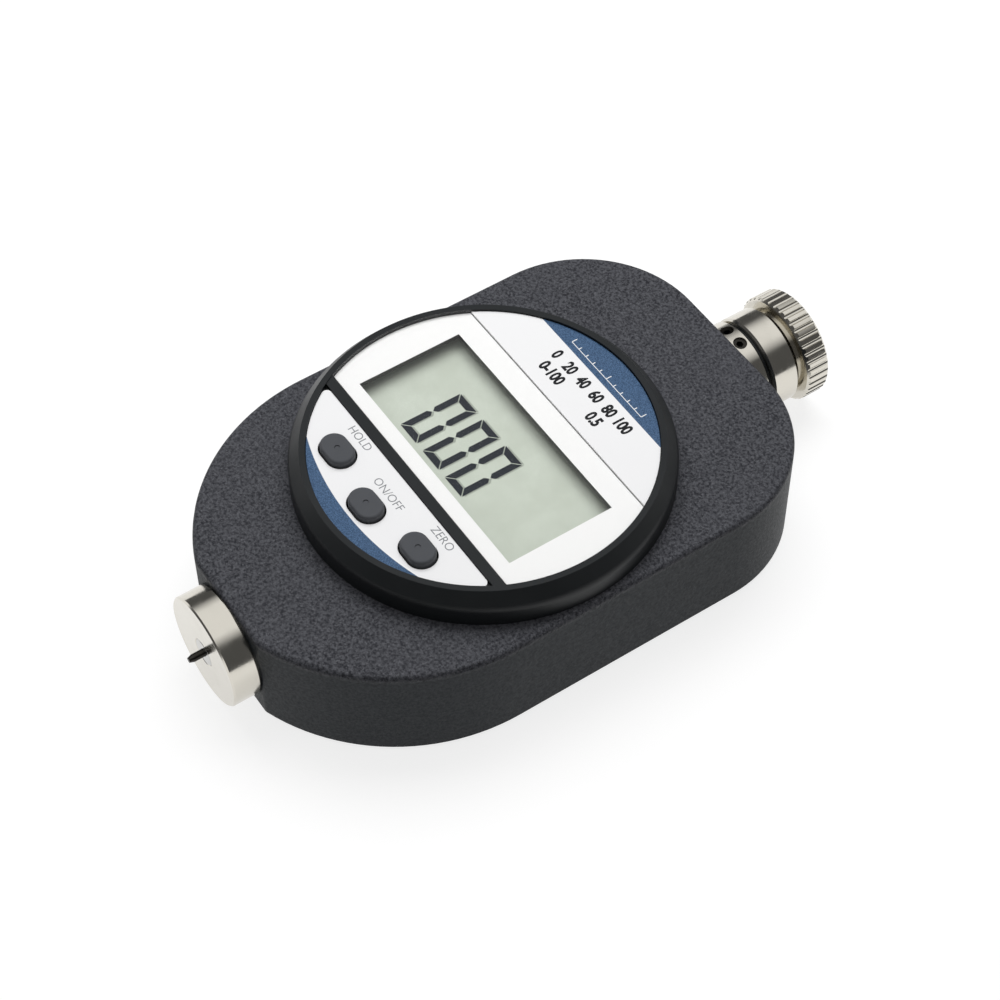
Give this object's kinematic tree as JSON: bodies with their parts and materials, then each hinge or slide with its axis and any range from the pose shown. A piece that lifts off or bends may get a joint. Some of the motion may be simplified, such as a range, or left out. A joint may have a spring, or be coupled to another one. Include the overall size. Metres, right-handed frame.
{
  "type": "rubber hardness tester",
  "caption": "Pocket hardness gauge for rubber: flat rounded body with a display head and push buttons, an indenter in a round presser foot, and a knurled cap at the other end.",
  "frame": {"origin": "on the back face, under the centre of the round display head", "axes": "+Y along the measuring axis from the presser foot to the knurled cap, +Z out of the display, +X across the body to the right when the knurled cap is up"},
  "size_m": [0.0604, 0.1114, 0.0249],
  "materials": {
    "coated_body": "fine grained dark grey paint",
    "black_trim": "satin black",
    "clear_window": "clear",
    "white_print": "matte white",
    "label_film": "printed film",
    "lcd_glass": "clear",
    "lcd_sheet": "pale green grey film",
    "button_rubber": "matte",
    "seal_rubber": "matte",
    "circuit_board": "solder mask",
    "chip_black": "resin",
    "nickel": "polished",
    "steel": "turned",
    "dark_steel": "hardened",
    "brass": "turned",
    "spring_steel": "bright wire",
    "holder_plastic": "moulded",
    "cell_steel": "nickel plated",
    "flex_film": "amber film",
    "slider_white": "moulded"
  },
  "bodies": {
    "gauge": {"body_casing": "coated_body", "back_cover": "coated_body", "back_cover_screws": "steel", "battery": "cell_steel", "battery_holder": "holder_plastic", "battery_contact_plus": "steel", "battery_contact_minus": "steel", "dial_housing": "black_trim", "dial_screws": "steel", "window_plate": "clear_window", "display_mask": "white_print", "upper_label": "label_film", "lower_label": "label_film", "lcd_polariser": "lcd_sheet", "lcd_glass": "lcd_glass", "lcd_reflector": "lcd_sheet", "zebra_strips": "seal_rubber", "main_board": "circuit_board", "board_screws": "steel", "controller_chip": "chip_black", "board_components": "chip_black", "button_switches": "chip_black", "snap_domes": "steel", "presser_foot": "nickel", "foot_guide_bush": "steel", "reader_board": "circuit_board", "reader_board_screws": "steel", "reader_flex": "flex_film", "calibrated_spring": "spring_steel", "spring_adjuster": "brass", "upper_guide_bush": "brass", "adjuster_lock_plug": "dark_steel", "top_collar": "nickel", "collar_set_screws": "dark_steel"},
    "spindle_set": {"spindle": "steel", "indenter": "dark_steel", "spring_seat": "brass", "slider_block": "slider_white", "slider_set_screw": "dark_steel", "guide_pin": "steel", "scale_strip": "circuit_board"},
    "hold_button": {"button_hold": "button_rubber"},
    "on_off_button": {"button_on_off": "button_rubber"},
    "zero_button": {"button_zero": "button_rubber"},
    "coin_cover": {"battery_cover": "holder_plastic", "battery_cover_seal": "seal_rubber"},
    "cap_seat": {"cap_ring": "black_trim"},
    "cap": {"knurled_cap": "nickel"}
  },
  "joints": [
    {"name": "indenter_slide", "type": "slide", "parent": "gauge", "child": "spindle_set", "axis": [0, 1, 0], "range_m": [0, 0.0025], "stiffness_N_per_m": 3000, "springref_m": -0.00018, "deforming": ["calibrated_spring"]},
    {"name": "hold_press", "type": "slide", "parent": "gauge", "child": "hold_button", "axis": [0, 0, -1], "range_m": [0, 0.0004], "stiffness_N_per_m": 600, "springref_m": -0.0003},
    {"name": "on_off_press", "type": "slide", "parent": "gauge", "child": "on_off_button", "axis": [0, 0, -1], "range_m": [0, 0.0004], "stiffness_N_per_m": 600, "springref_m": -0.0003},
    {"name": "zero_press", "type": "slide", "parent": "gauge", "child": "zero_button", "axis": [0, 0, -1], "range_m": [0, 0.0004], "stiffness_N_per_m": 600, "springref_m": -0.0003},
    {"name": "battery_cover_turn", "type": "hinge", "parent": "gauge", "child": "coin_cover", "pos_m": [0.01495, -0.014, 0], "axis": [0, 0, -1], "range_deg": [0, 90]},
    {"name": "cap_lift", "type": "slide", "parent": "gauge", "child": "cap_seat", "axis": [0, 1, 0], "range_m": [0, 0.003]},
    {"name": "cap_turn", "type": "hinge", "parent": "cap_seat", "child": "cap", "pos_m": [0, 0.055, 0.00925], "axis": [0, -1, 0], "range_deg": [0, 1080]}
  ],
  "couplings": [
    {"joint": "cap_lift", "follows": "cap_turn", "m_per_rad": 0.00015915}
  ]
}
